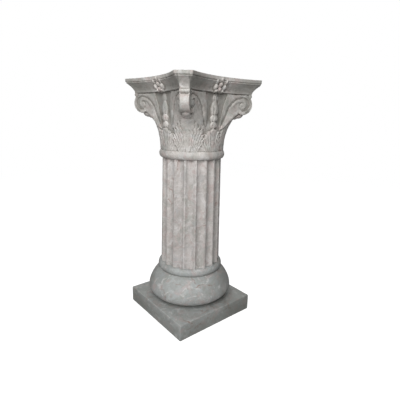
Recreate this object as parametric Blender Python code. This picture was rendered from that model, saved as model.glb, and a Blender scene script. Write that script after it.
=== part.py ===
"""A decorative column: a square-plinth base, a fluted shaft and a leafy capital."""
import math

import bmesh
import bpy
from mathutils import Matrix, Vector

# Base: a square plinth, a short neck, a sloping torus and a narrow bead, cast as one piece
PLINTH_WIDTH = 0.350
PLINTH_HEIGHT = 0.063
PLINTH_EDGE = 0.003
NECK_HEIGHT = 0.011
NECK_RADIUS = 0.120
TORUS_HEIGHT = 0.112
TORUS_RADIUS = 0.166
TORUS_WIDEST_SHARE = 0.34
TORUS_SLOPE = 1.35
BEAD_HEIGHT = 0.028
BEAD_RADIUS = 0.128

# Shaft: a drum that tapers upwards, cut with round-bottomed flutes
SHAFT_HEIGHT = 0.411
SHAFT_FOOT_RADIUS = 0.117
SHAFT_TOP_RADIUS = 0.111
FLUTE_COUNT = 18
FLUTE_DEPTH = 0.009
FILLET_WIDTH = 0.0065

# Capital: an astragal ring, a bell dressed with leaves and volutes, and an abacus
ASTRAGAL_HEIGHT = 0.030
ASTRAGAL_RADIUS = 0.123
BELL_HEIGHT = 0.197
BELL_FOOT_RADIUS = 0.113
BELL_LIP_RADIUS = 0.121
ABACUS_HEIGHT = 0.0474
HORN_REACH = 0.243
HORN_WIDTH = 0.058
ABACUS_HOLLOW = 0.034
ABACUS_INSET = 0.0245
HORN_INSET_RATIO = 1.24
ABACUS_FILLET = 0.0111
QUIRK_HEIGHT = 0.0021
QUIRK_SHARE = 0.15
RULE_HEIGHT = 0.0036
RULE_SHARE = 0.07
CAVETTO_SHARE = 0.17

# Volutes: one scroll under each horn, on a block that widens towards the bell
SCROLL_RADIUS = 0.035
SCROLL_REACH = 0.1815
SCROLL_EDGE_WIDTH = 0.029
SCROLL_FLARE_RATIO = 0.46
SCROLL_DRAFT_RATIO = 0.06
SCROLL_RELIEF = 0.0045
SCROLL_START = -40
SCROLL_END = 195
RING_WIDTH = 0.0105
GROOVE_WIDTH = 0.0045
EYE_DROP = 0.0055
EYE_RADIUS = 0.0105
HOOK_RADIUS = 0.0180
HOOK_WIDTH = 0.0060
KNOB_REACH = 0.2060
KNOB_RADIUS = 0.0070
STEM_FOOT_REACH = 0.101
STEM_TOP_REACH = 0.127
STEM_FOOT_SHARE = 0.38
STEM_BEND = 1.6
WEB_REACH = 0.080
WEB_FOOT_SHARE = 0.25

# Leaves: one under each volute with a curled tip, and a lower one on each face
CORNER_LEAF_HEIGHT = 0.122
CORNER_LEAF_LEAN = 0.038
CORNER_LEAF_SPREAD = math.radians(24)
LEAF_TIP_HEIGHT = 0.029
LEAF_TIP_DEPTH = 0.037
LEAF_TIP_WIDTH = 0.036
LEAF_TIP_RISE = 0.007
LEAF_TIP_OVERHANG = 0.0025
FACE_LEAF_HEIGHT = 0.074
FACE_LEAF_LEAN = 0.012
FACE_LEAF_SPREAD = math.radians(21)
LEAF_RELIEF = 0.0075
LEAF_BEND = 2.7
LEAF_DROOP = 0.0025
LEAF_EDGE_SHARE = 0.80
LEAF_EDGE_POWER = 2.5
LEAF_FOOT_SHARE = 0.86
LEAF_SWELL_SHARE = 0.42
LEAF_TAPER_SHARE = 0.78
LEAF_NOTCH_SHARE = 0.90

# Face ornament: a flower on the abacus with a string of husks hanging from it
FLOWER_WIDTH = 0.066
FLOWER_RELIEF = 0.010
FLOWER_ROOT = 0.030
HUSK_WIDTH = 0.026
HUSK_RELIEF = 0.008
HUSK_STRING_LENGTH = 0.118

# Pieces that stand on each other keep this gap
JOINT_GAP = 0.0003

# Fineness of the faceted surfaces
ROUND_SEGMENTS = 48
BELL_SEGMENTS = 32
FLUTE_SEGMENTS = 7
HOLLOW_SEGMENTS = 7
HUSK_SIDES = 8
TIP_SIDES = 8

CORNERS = 4
UNDERLAP = 0.004
HAIR = 0.001
SLIVER = 0.00002
FLAT_ANGLE = math.radians(0.6)
EIGHTH_TURN_COSINE = math.cos(0.25 * math.pi)
DIAGONAL = Matrix.Rotation(0.25 * math.pi, 4, "Z")

TORUS_FOOT = PLINTH_HEIGHT + NECK_HEIGHT
TORUS_TOP = TORUS_FOOT + TORUS_HEIGHT
BASE_TOP = TORUS_TOP + BEAD_HEIGHT
SHAFT_FOOT = BASE_TOP + JOINT_GAP
SHAFT_TOP = SHAFT_FOOT + SHAFT_HEIGHT
CAPITAL_FOOT = SHAFT_TOP + JOINT_GAP
BELL_FOOT = CAPITAL_FOOT + ASTRAGAL_HEIGHT
ABACUS_FOOT = BELL_FOOT + BELL_HEIGHT
COLUMN_TOP = ABACUS_FOOT + ABACUS_HEIGHT


def clear_scene():
    for item in list(bpy.data.objects):
        bpy.data.objects.remove(item, do_unlink=True)


def stone(name, colour, roughness):
    material = bpy.data.materials.new(name)
    material.use_nodes = True
    shader = material.node_tree.nodes["Principled BSDF"]
    shader.inputs["Base Color"].default_value = (*colour, 1.0)
    shader.inputs["Roughness"].default_value = roughness
    shader.inputs["Metallic"].default_value = 0.0
    return material


def finish_mesh(bm, name):
    """Turns a shape's faces outwards, cuts them into triangles and gives it an object."""
    bm.normal_update()
    bmesh.ops.recalc_face_normals(bm, faces=bm.faces)
    bmesh.ops.triangulate(bm, faces=bm.faces)
    mesh = bpy.data.meshes.new(name)
    bm.to_mesh(mesh)
    bm.free()
    body = bpy.data.objects.new(name, mesh)
    bpy.context.scene.collection.objects.link(body)
    return body


def stack_loops(name, loops):
    """A closed body through equal loops of points, flat at both ends."""
    bm = bmesh.new()
    rings = [[bm.verts.new(point) for point in loop] for loop in loops]
    for lower, upper in zip(rings, rings[1:]):
        for index in range(len(lower)):
            after = (index + 1) % len(lower)
            bm.faces.new((lower[index], lower[after], upper[after], upper[index]))
    bm.faces.new(rings[0])
    bm.faces.new(rings[-1])
    return finish_mesh(bm, name)


def turned(name, profile, segments):
    """A body turned about the column's axis from (radius, height) points."""
    loops = []
    for radius, height in profile:
        loop = []
        for index in range(segments):
            angle = math.tau * (index + 0.5) / segments
            loop.append((radius * math.cos(angle), radius * math.sin(angle), height))
        loops.append(loop)
    return stack_loops(name, loops)


def two_skins(name, front, back):
    """A closed body between two equal grids of points."""
    bm = bmesh.new()
    skins = [[[bm.verts.new(point) for point in row] for row in grid] for grid in (front, back)]
    rows = len(front)
    columns = len(front[0])
    for skin in skins:
        for row in range(rows - 1):
            for column in range(columns - 1):
                corner = (skin[row][column], skin[row][column + 1])
                bm.faces.new((*corner, skin[row + 1][column + 1], skin[row + 1][column]))
    rim = [(0, column) for column in range(columns)]
    rim += [(row, columns - 1) for row in range(1, rows)]
    rim += [(rows - 1, column) for column in range(columns - 2, -1, -1)]
    rim += [(row, 0) for row in range(rows - 2, 0, -1)]
    for here, there in zip(rim, rim[1:] + rim[:1]):
        outer = [skins[0][row][column] for row, column in (here, there)]
        inner = [skins[1][row][column] for row, column in (there, here)]
        bm.faces.new((*outer, *inner))
    return finish_mesh(bm, name)


def fuse(name, pieces):
    """Joins overlapping pieces into one body."""
    body = pieces[0]
    for piece in pieces[1:]:
        union = body.modifiers.new("union", "BOOLEAN")
        union.operation = "UNION"
        union.solver = "EXACT"
        union.object = piece
        evaluated = body.evaluated_get(bpy.context.evaluated_depsgraph_get())
        joined = bpy.data.meshes.new_from_object(evaluated)
        body.modifiers.clear()
        body.data = joined
        bpy.data.objects.remove(piece, do_unlink=True)
    body.name = name
    body.data.name = name
    return body


def copy_turned(body, angle):
    """A copy of a body, turned about the column's axis."""
    mesh = body.data.copy()
    mesh.transform(Matrix.Rotation(angle, 4, "Z"))
    twin = bpy.data.objects.new(body.name, mesh)
    bpy.context.scene.collection.objects.link(twin)
    return twin


def fill_pockets(bm):
    """Deletes the walls of closed pockets left between fused pieces, so the stone is solid."""
    shells = []
    unseen = set(bm.verts)
    while unseen:
        shell = set()
        frontier = [unseen.pop()]
        while frontier:
            vertex = frontier.pop()
            shell.add(vertex)
            for edge in vertex.link_edges:
                other = edge.other_vert(vertex)
                if other in unseen:
                    unseen.remove(other)
                    frontier.append(other)
        shells.append(shell)
    outer = max(shells, key=lambda shell: max(vertex.co.length for vertex in shell))
    inner = [vertex for shell in shells if shell is not outer for vertex in shell]
    bmesh.ops.delete(bm, geom=inner, context="VERTS")


def dress(body, material, sharp_angle):
    """Tidies slivers left by the unions and gives the body its finish."""
    bm = bmesh.new()
    bm.from_mesh(body.data)
    fill_pockets(bm)
    bmesh.ops.remove_doubles(bm, verts=bm.verts, dist=SLIVER)
    bmesh.ops.dissolve_degenerate(bm, edges=bm.edges, dist=SLIVER)
    bmesh.ops.dissolve_limit(bm, angle_limit=FLAT_ANGLE, verts=bm.verts, edges=bm.edges)
    bmesh.ops.triangulate(bm, faces=bm.faces)
    bm.to_mesh(body.data)
    bm.free()
    body.data.shade_smooth()
    body.data.set_sharp_from_angle(angle=sharp_angle)
    body.data.materials.clear()
    body.data.materials.append(material)


def quarter_bulge(radius_from, radius_to, height_from, height_to, steps, rising, slope=1.0):
    """Points of a quarter ellipse: rising swells outwards, otherwise it draws back in.

    A slope above 1 flattens the curve towards a straight line between its ends.
    """
    points = []
    for step in range(steps + 1):
        angle = 0.5 * math.pi * step / steps
        sine, cosine = math.sin(angle) ** slope, max(math.cos(angle), 0.0) ** slope
        across, up = (sine, 1 - cosine) if rising else (1 - cosine, sine)
        radius = radius_from + (radius_to - radius_from) * across
        points.append((radius, height_from + (height_to - height_from) * up))
    return points


def make_base():
    half = 0.5 * PLINTH_WIDTH
    plinth_loops = []
    for inset, height in ((PLINTH_EDGE, 0.0), (0.0, PLINTH_EDGE),
                          (0.0, PLINTH_HEIGHT - PLINTH_EDGE), (PLINTH_EDGE, PLINTH_HEIGHT)):
        side = half - inset
        plinth_loops.append([(-side, -side, height), (side, -side, height),
                             (side, side, height), (-side, side, height)])
    plinth = stack_loops("plinth", plinth_loops)
    widest = TORUS_FOOT + TORUS_WIDEST_SHARE * TORUS_HEIGHT
    bead_middle = TORUS_TOP + 0.5 * BEAD_HEIGHT
    profile = [(NECK_RADIUS, PLINTH_HEIGHT - UNDERLAP)]
    profile += quarter_bulge(NECK_RADIUS, TORUS_RADIUS, TORUS_FOOT, widest, 4, True)
    profile += quarter_bulge(TORUS_RADIUS, SHAFT_FOOT_RADIUS, widest, TORUS_TOP, 6, False, TORUS_SLOPE)[1:]
    profile += quarter_bulge(SHAFT_FOOT_RADIUS, BEAD_RADIUS, TORUS_TOP, bead_middle, 3, True)[1:]
    profile += quarter_bulge(BEAD_RADIUS, SHAFT_FOOT_RADIUS, bead_middle, BASE_TOP, 3, False)[1:]
    rings = turned("rings", profile, ROUND_SEGMENTS)
    base = fuse("base", [plinth, rings])
    dress(base, stone("base_stone", (0.42, 0.41, 0.37), 0.42), math.radians(35))


def flute_outline(radius, height):
    """One level of the shaft: round-bottomed flutes with narrow flat fillets between them."""
    pitch = math.tau / FLUTE_COUNT
    flute_angle = pitch - FILLET_WIDTH / radius
    half_width = radius * math.sin(0.5 * flute_angle)
    arc_radius = (half_width ** 2 + FLUTE_DEPTH ** 2) / (2 * FLUTE_DEPTH)
    half_arc = math.asin(min(1.0, half_width / arc_radius))
    edge = radius * math.cos(0.5 * flute_angle)
    centre = edge - FLUTE_DEPTH + arc_radius
    loop = []
    for flute in range(FLUTE_COUNT):
        turn = flute * pitch - 0.5 * math.pi
        for step in range(FLUTE_SEGMENTS + 1):
            sweep = half_arc * (2 * step / FLUTE_SEGMENTS - 1)
            depth = centre - arc_radius * math.cos(sweep)
            side = arc_radius * math.sin(sweep)
            x = depth * math.cos(turn) - side * math.sin(turn)
            y = depth * math.sin(turn) + side * math.cos(turn)
            loop.append((x, y, height))
    return loop


def make_shaft():
    loops = [flute_outline(SHAFT_FOOT_RADIUS, SHAFT_FOOT), flute_outline(SHAFT_TOP_RADIUS, SHAFT_TOP)]
    shaft = stack_loops("shaft", loops)
    dress(shaft, stone("shaft_stone", (0.55, 0.53, 0.48), 0.38), math.radians(40))


def bell_radius(height):
    """The plain bell under the leaves, from its foot to its lip."""
    rise = (height - BELL_FOOT) / BELL_HEIGHT
    return BELL_FOOT_RADIUS + (BELL_LIP_RADIUS - BELL_FOOT_RADIUS) * rise


def make_core():
    middle = CAPITAL_FOOT + 0.5 * ASTRAGAL_HEIGHT
    profile = quarter_bulge(SHAFT_TOP_RADIUS, ASTRAGAL_RADIUS, CAPITAL_FOOT, middle, 3, True)
    profile += quarter_bulge(ASTRAGAL_RADIUS, BELL_FOOT_RADIUS, middle, BELL_FOOT, 3, False)[1:]
    profile.append((BELL_LIP_RADIUS, ABACUS_FOOT))
    profile.append((BELL_LIP_RADIUS, ABACUS_FOOT + UNDERLAP))
    return turned("core", profile, BELL_SEGMENTS)


def side_arc():
    """Radius, half angle and centre distance of the hollow of an abacus side."""
    half_horn = 0.5 * HORN_WIDTH
    half_chord = (HORN_REACH - half_horn) * EIGHTH_TURN_COSINE
    chord_distance = (HORN_REACH + half_horn) * EIGHTH_TURN_COSINE
    arc_radius = (half_chord ** 2 + ABACUS_HOLLOW ** 2) / (2 * ABACUS_HOLLOW)
    centre = chord_distance - ABACUS_HOLLOW + arc_radius
    return arc_radius, centre


def abacus_loop(inset, height):
    """Plan of the abacus: four hollow sides between cut-off horns, drawn in by the inset."""
    arc_radius, centre = side_arc()
    grown = arc_radius + inset
    reach = HORN_REACH - inset * HORN_INSET_RATIO
    low, high = 0.0, math.radians(44)
    for _ in range(40):
        middle = 0.5 * (low + high)
        along = grown * math.sin(middle)
        away = centre - grown * math.cos(middle)
        if (along + away) * EIGHTH_TURN_COSINE < reach:
            low = middle
        else:
            high = middle
    loop = []
    for side in range(CORNERS):
        turn = side * 0.5 * math.pi
        for step in range(HOLLOW_SEGMENTS + 1):
            sweep = low * (2 * step / HOLLOW_SEGMENTS - 1)
            along = grown * math.sin(sweep)
            away = centre - grown * math.cos(sweep)
            x = away * math.cos(turn) - along * math.sin(turn)
            y = away * math.sin(turn) + along * math.cos(turn)
            loop.append((x, y, height))
    return loop


def make_abacus():
    """A top fillet, a narrow quirk, a thin rule and a deep cavetto that runs down to the bell."""
    quirk_foot = ABACUS_FILLET + QUIRK_HEIGHT
    rule_foot = quirk_foot + RULE_HEIGHT
    levels = [(0.0, 0.0), (0.0, ABACUS_FILLET), (QUIRK_SHARE, ABACUS_FILLET), (QUIRK_SHARE, quirk_foot),
              (RULE_SHARE, quirk_foot), (RULE_SHARE, rule_foot)]
    steps = 4
    for step in range(steps + 1):
        drop = rule_foot + (ABACUS_HEIGHT - rule_foot) * step / steps
        curve = math.sin(0.5 * math.pi * step / steps)
        levels.append((CAVETTO_SHARE + (1 - CAVETTO_SHARE) * curve, drop))
    loops = [abacus_loop(share * ABACUS_INSET, COLUMN_TOP - drop) for share, drop in reversed(levels)]
    return stack_loops("abacus", loops)


def scroll_half_width(reach, height):
    """Half the width of a volute block: narrow at its outer edge, wide towards the bell."""
    outer = SCROLL_REACH + SCROLL_RADIUS
    narrow = 0.5 * SCROLL_EDGE_WIDTH
    return narrow + SCROLL_FLARE_RATIO * (outer - reach) - SCROLL_DRAFT_RATIO * (ABACUS_FOOT - height)


def corner_slab(name, outline, relief):
    """A slab right across the corner, from an outline of (reach, height) points."""
    sides = []
    for hand in (-1, 1):
        sides.append([(reach, hand * (scroll_half_width(reach, height) + relief), height)
                      for reach, height in outline])
    return stack_loops(name, [[DIAGONAL @ Vector(point) for point in side] for side in sides])


def side_slab(name, outline, relief, depth, hand):
    """A thin slab on one side of the volute, from an outline of (reach, height) points."""
    sides = []
    for level in (relief - depth, relief):
        sides.append([(reach, hand * (scroll_half_width(reach, height) + level), height)
                      for reach, height in outline])
    return stack_loops(name, [[DIAGONAL @ Vector(point) for point in side] for side in sides])


def scroll_arc(radius_from, radius_to, angle_from, angle_to, steps, drop=0.0):
    """Points round the scroll; the angle is taken from straight up, outwards first."""
    middle_height = ABACUS_FOOT - SCROLL_RADIUS - drop
    points = []
    for step in range(steps + 1):
        share = step / steps
        radius = radius_from + (radius_to - radius_from) * share
        angle = math.radians(angle_from + (angle_to - angle_from) * share)
        reach = SCROLL_REACH + radius * math.sin(angle)
        points.append((reach, middle_height + radius * math.cos(angle)))
    return points


def stem_path(lag):
    """The groove beside a stem, from its foot on the bell up to the scroll."""
    points = []
    top = scroll_arc(SCROLL_RADIUS - RING_WIDTH - lag, 0.0, SCROLL_START, 0, 1)[0]
    foot = (STEM_FOOT_REACH + 0.5 * GROOVE_WIDTH + lag, BELL_FOOT + STEM_FOOT_SHARE * BELL_HEIGHT)
    for step in range(4):
        share = step / 4
        reach = foot[0] + (top[0] - foot[0]) * share
        height = foot[1] + (top[1] - foot[1]) * (1 - (1 - share) ** STEM_BEND)
        points.append((reach, height))
    return points


def make_volute(tip_reach, tip_height):
    """One corner's volute: stems that roll into a scroll, with a lobe, a hook and an eye inside.

    The web behind them runs out to the knob and down to the leaf tip, so no daylight shows past it.
    """
    top = ABACUS_FOOT + UNDERLAP
    ring_inner = SCROLL_RADIUS - RING_WIDTH
    lobe_radius = ring_inner - GROOVE_WIDTH
    stem_foot = (STEM_FOOT_REACH, BELL_FOOT + STEM_FOOT_SHARE * BELL_HEIGHT)
    knob_height = ABACUS_FOOT - KNOB_RADIUS + HAIR
    web = [(WEB_REACH, BELL_FOOT + WEB_FOOT_SHARE * BELL_HEIGHT), (WEB_REACH, top)]
    web += [(KNOB_REACH, top), (KNOB_REACH, knob_height)]
    web += scroll_arc(SCROLL_RADIUS - HAIR, SCROLL_RADIUS - HAIR, 48, 200, 8)
    web += [(tip_reach, tip_height), (0.5 * (tip_reach + stem_foot[0]), 0.5 * (tip_height + stem_foot[1]))]
    band = [stem_foot, (STEM_TOP_REACH, top - HAIR), (SCROLL_REACH, top - HAIR)]
    band += scroll_arc(SCROLL_RADIUS, SCROLL_RADIUS, 8, SCROLL_END, 9)
    band += scroll_arc(SCROLL_RADIUS - 3 * HAIR, ring_inner, SCROLL_END, SCROLL_START, 9)
    band += list(reversed(stem_path(0.0)))
    lobe = stem_path(GROOVE_WIDTH)
    lobe += scroll_arc(lobe_radius, lobe_radius + 3 * HAIR, SCROLL_START, SCROLL_END, 9)
    lobe += [(tip_reach, tip_height + UNDERLAP), (STEM_TOP_REACH, 0.5 * (tip_height + stem_foot[1]))]
    hook = scroll_arc(HOOK_RADIUS, EYE_RADIUS, -100, 60, 6, EYE_DROP)
    hook += scroll_arc(EYE_RADIUS - HOOK_WIDTH, HOOK_RADIUS - HOOK_WIDTH, 60, -100, 6, EYE_DROP)
    eye = scroll_arc(EYE_RADIUS, EYE_RADIUS, 0, 315, 7, EYE_DROP)
    knob = []
    for step in range(8):
        angle = math.tau * step / 8
        out = KNOB_REACH + KNOB_RADIUS * math.cos(angle)
        knob.append((out, knob_height + KNOB_RADIUS * math.sin(angle)))
    pieces = [
        corner_slab("web", web, -SCROLL_RELIEF),
        corner_slab("band", band, 0.0),
        corner_slab("lobe", lobe, -0.4 * SCROLL_RELIEF),
        corner_slab("knob", knob, 0.5 * SCROLL_RELIEF),
    ]
    for hand in (-1, 1):
        pieces.append(side_slab("hook", hook, 0.1 * SCROLL_RELIEF, SCROLL_RELIEF, hand))
        pieces.append(side_slab("eye", eye, 0.3 * SCROLL_RELIEF, SCROLL_RELIEF, hand))
    return fuse("volute", pieces)


def leaf_lean(share, lean):
    """How far a leaf's face stands out from the bell at a share of its height."""
    return LEAF_RELIEF + lean * share ** LEAF_BEND


def make_leaf(name, middle_angle, height, lean, spread, lobes):
    """An acanthus leaf on the bell: a broad middle tongue, side grooves and lobed edges."""
    rows = 2 * lobes + 3
    across = (-1.0, -0.68, -0.40, 0.0, 0.40, 0.68, 1.0)
    sunk = (0.85, 0.10, 0.60, 0.0, 0.60, 0.10, 0.85)
    front = []
    back = []
    for row in range(rows):
        share = row / (rows - 1)
        level = BELL_FOOT - HAIR + (height + HAIR) * share
        scallop = 1.0 if row % 2 else LEAF_NOTCH_SHARE
        swell = LEAF_FOOT_SHARE + LEAF_SWELL_SHARE * share - LEAF_TAPER_SHARE * share ** 3
        width = spread * scallop * swell
        front_row = []
        back_row = []
        for place, drop in zip(across, sunk):
            angle = middle_angle + width * place
            droop = LEAF_DROOP * abs(place) * (1 if row % 2 else -1)
            plain = bell_radius(level)
            radius = plain + leaf_lean(share, lean) - LEAF_RELIEF * drop * (1 - share / 2)
            radius -= LEAF_EDGE_SHARE * lean * share ** LEAF_BEND * abs(place) ** LEAF_EDGE_POWER
            front_row.append((radius * math.cos(angle), radius * math.sin(angle), level - droop))
            shrink = plain - 2 * UNDERLAP
            back_row.append((shrink * math.cos(angle), shrink * math.sin(angle), level - droop))
        front.append(front_row)
        back.append(back_row)
    return two_skins(name, front, back)


def make_leaf_tip(reach, height):
    """The rolled tip of a corner leaf: a short barrel lying across the corner."""
    loops = []
    for along, share in ((-1.0, 0.45), (-0.72, 0.86), (0.0, 1.0), (0.72, 0.86), (1.0, 0.45)):
        loop = []
        for index in range(TIP_SIDES):
            around = math.tau * (index + 0.5) / TIP_SIDES
            out = reach + 0.5 * LEAF_TIP_DEPTH * share * math.cos(around)
            level = height + 0.5 * LEAF_TIP_HEIGHT * share * math.sin(around)
            loop.append(Vector((out, 0.5 * LEAF_TIP_WIDTH * along, level)))
        loops.append(loop)
    return stack_loops("leaf_tip", [[DIAGONAL @ point for point in loop] for loop in loops])


def make_husks():
    """A string of husks down the middle of a face, half sunk in the bell."""
    shape = ((0.00, 0.60), (0.12, 1.00), (0.28, 0.45), (0.42, 0.88), (0.58, 0.40), (0.72, 0.75),
             (0.88, 0.40), (1.00, 0.10))
    top = ABACUS_FOOT + UNDERLAP - HAIR
    loops = []
    for share, fullness in reversed(shape):
        height = top - HUSK_STRING_LENGTH * share
        centre = bell_radius(height)
        loop = []
        for index in range(HUSK_SIDES):
            around = math.tau * (index + 0.5) / HUSK_SIDES
            radius = centre + HUSK_RELIEF * fullness * math.cos(around)
            loop.append((radius, 0.5 * HUSK_WIDTH * fullness * math.sin(around), height))
        loops.append(loop)
    return stack_loops("husks", loops)


def make_flower():
    """The flower in the middle of an abacus side, which follows the hollow moulding."""
    arc_radius, centre = side_arc()
    middle = centre - arc_radius
    rows = ((0.03, 0.30, 0.86), (0.22, 0.52, 0.80), (0.45, 0.80, 0.52), (0.66, 1.00, 0.26),
            (0.84, 0.94, 0.02), (0.95, 0.60, 0.0))
    around = ((-1.0, -0.3), (-0.86, 0.45), (-0.55, 0.55), (-0.40, 0.86), (0.0, 1.0),
              (0.40, 0.86), (0.55, 0.55), (0.86, 0.45), (1.0, -0.3))
    loops = []
    for level, fullness, inset in rows:
        height = ABACUS_FOOT + ABACUS_HEIGHT * level
        face = middle - ABACUS_INSET * inset
        loop = [(face - FLOWER_ROOT, 0.5 * FLOWER_WIDTH * fullness, height),
                (face - FLOWER_ROOT, -0.5 * FLOWER_WIDTH * fullness, height)]
        for side, proud in around:
            loop.append((face + FLOWER_RELIEF * proud, 0.5 * FLOWER_WIDTH * fullness * side, height))
        loops.append(loop)
    return stack_loops("flower", loops)


def make_capital():
    diagonal = 0.25 * math.pi
    tip_height = BELL_FOOT + CORNER_LEAF_HEIGHT + LEAF_TIP_RISE
    tip_reach = bell_radius(tip_height) + LEAF_RELIEF + CORNER_LEAF_LEAN + LEAF_TIP_OVERHANG
    quarter = fuse("quarter", [
        make_volute(tip_reach, tip_height),
        make_leaf("corner_leaf", diagonal, CORNER_LEAF_HEIGHT, CORNER_LEAF_LEAN, CORNER_LEAF_SPREAD, 3),
        make_leaf_tip(tip_reach, tip_height),
    ])
    face = fuse("face", [
        make_leaf("face_leaf", 0.0, FACE_LEAF_HEIGHT, FACE_LEAF_LEAN, FACE_LEAF_SPREAD, 3),
        make_husks(),
    ])
    pieces = [make_core(), make_abacus()]
    for corner in range(CORNERS):
        turn = corner * 0.5 * math.pi
        pieces.append(copy_turned(face, turn))
        pieces.append(copy_turned(quarter, turn))
    flower = make_flower()
    for corner in range(CORNERS):
        pieces.append(copy_turned(flower, corner * 0.5 * math.pi))
    for pattern in (quarter, face, flower):
        bpy.data.objects.remove(pattern, do_unlink=True)
    capital = fuse("capital", pieces)
    dress(capital, stone("capital_stone", (0.47, 0.46, 0.42), 0.45), math.radians(35))


clear_scene()
make_base()
make_shaft()
make_capital()
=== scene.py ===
import math

import bpy
import numpy as np
from mathutils import Matrix, Vector


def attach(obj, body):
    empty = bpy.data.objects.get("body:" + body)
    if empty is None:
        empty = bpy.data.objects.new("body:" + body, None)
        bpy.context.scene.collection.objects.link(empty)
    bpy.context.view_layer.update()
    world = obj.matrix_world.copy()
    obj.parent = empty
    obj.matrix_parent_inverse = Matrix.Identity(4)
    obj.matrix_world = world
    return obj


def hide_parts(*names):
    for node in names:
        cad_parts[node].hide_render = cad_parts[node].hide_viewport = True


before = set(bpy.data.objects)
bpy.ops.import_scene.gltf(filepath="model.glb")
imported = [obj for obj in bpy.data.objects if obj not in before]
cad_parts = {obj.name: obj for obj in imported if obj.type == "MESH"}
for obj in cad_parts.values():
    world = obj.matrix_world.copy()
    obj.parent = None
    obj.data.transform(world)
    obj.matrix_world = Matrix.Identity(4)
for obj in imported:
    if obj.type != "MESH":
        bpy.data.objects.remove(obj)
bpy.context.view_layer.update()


# The camera stands a little over a metre away, at about five sixths of the column's height,
# and looks down at the corner between two faces, as the photographer did.
VIEW_DISTANCE = 1.2218
VIEW_HEIGHT = 0.7538
VIEW_SIDE = 0.12112 - 0.25 * math.pi
VIEW_TURN = VIEW_SIDE - 0.02897
VIEW_PITCH = 0.23829
VIEW_ROLL = 0.02484
FOCAL_PIXELS = 319.379
PHOTO_WIDTH = 400

eye = Vector((math.sin(VIEW_SIDE) * VIEW_DISTANCE, -math.cos(VIEW_SIDE) * VIEW_DISTANCE,
              VIEW_HEIGHT))
forward = Vector((-math.sin(VIEW_TURN) * math.cos(VIEW_PITCH),
                  math.cos(VIEW_TURN) * math.cos(VIEW_PITCH), -math.sin(VIEW_PITCH)))
level = Vector((math.cos(VIEW_TURN), math.sin(VIEW_TURN), 0.0))
upright = level.cross(forward)
right = level * math.cos(VIEW_ROLL) + upright * math.sin(VIEW_ROLL)
above = upright * math.cos(VIEW_ROLL) - level * math.sin(VIEW_ROLL)
lens = bpy.data.cameras.new("photo_camera")
lens.sensor_width = 36.0
lens.sensor_fit = "HORIZONTAL"
lens.lens = FOCAL_PIXELS / PHOTO_WIDTH * lens.sensor_width
lens.clip_start = 0.05
camera = bpy.data.objects.new("photo_camera", lens)
bpy.context.scene.collection.objects.link(camera)
camera.matrix_world = Matrix((right, above, -forward)).transposed().to_4x4()
camera.matrix_world.translation = eye
bpy.context.scene.camera = camera


# The base is one block of marble or marble-like cast stone: a square plinth, a fat torus that
# tucks in over it, and a thin bead under the shaft. It stands loose on the floor.
PLINTH_WIDTH = 0.350
PLINTH_HEIGHT = 0.063
PLINTH_EDGE = 0.003
NECK_RADIUS = 0.120
NECK_SUNK = 0.004
TORUS_FOOT = 0.074
TORUS_TOP = 0.186
TORUS_WIDEST = TORUS_FOOT + 0.34 * (TORUS_TOP - TORUS_FOOT)
TORUS_RADIUS = 0.166
TORUS_SLOPE = 1.35
BEAD_RADIUS = 0.128
BASE_TOP = 0.214
SHAFT_FOOT_RADIUS = 0.117
BASE_STEP = 0.002
# The grid starts this many steps below the foot, so that none of its points lies on the foot.
GRID_DIP = 1.3
# Noise below the first level leaves the stone as it is, and above the second rubs it fully.
RUB_FROM = 0.35
RUB_TO = 0.75
WELD_DISTANCE = 2e-5


def skin(field, corner, step):
    """The surface where a block of field values turns from negative (stone) to positive.

    Each cell that the surface crosses gets one point, at the mean of the crossings on its
    edges, and each crossed edge gets one face between the four cells round it.
    """
    cells = tuple(size - 1 for size in field.shape)
    strides = np.array((cells[1] * cells[2], cells[2], 1))
    total = np.zeros((cells[0] * cells[1] * cells[2], 3))
    hits = np.zeros(cells[0] * cells[1] * cells[2])
    faces = []
    for axis in range(3):
        low = np.take(field, np.arange(cells[axis]), axis)
        high = np.take(field, np.arange(1, cells[axis] + 1), axis)
        crossed = (low < 0) != (high < 0)
        where = np.argwhere(crossed)
        before, after = low[crossed], high[crossed]
        place = where.astype(float)
        place[:, axis] += before / (before - after)
        one, two = (axis + 1) % 3, (axis + 2) % 3
        ring = []
        whole = np.ones(len(where), bool)
        for shift_one, shift_two in ((-1, -1), (0, -1), (0, 0), (-1, 0)):
            cell = where.copy()
            cell[:, one] += shift_one
            cell[:, two] += shift_two
            valid = ((cell >= 0) & (cell < cells)).all(1)
            whole &= valid
            index = cell @ strides
            ring.append(index)
            for side in range(3):
                total[:, side] += np.bincount(index[valid], place[valid, side], len(hits))
            hits += np.bincount(index[valid], minlength=len(hits))
        quads = np.stack(ring, 1)[whole]
        falling = (before > after)[whole]
        quads[falling] = quads[falling][:, ::-1]
        faces.append(quads)
    faces = np.concatenate(faces)
    used = np.flatnonzero(hits)
    number = np.zeros(len(hits), int)
    number[used] = np.arange(len(used))
    points = np.array(corner) + total[used] / hits[used, None] * step
    return points, number[faces]


def block(lowest, highest, step):
    """Coordinates of a grid of points that fills a box, ready to be carved."""
    sides = [np.arange(low, high + step, step) for low, high in zip(lowest, highest)]
    return np.meshgrid(*[side.astype(np.float32) for side in sides], indexing="ij")


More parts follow.
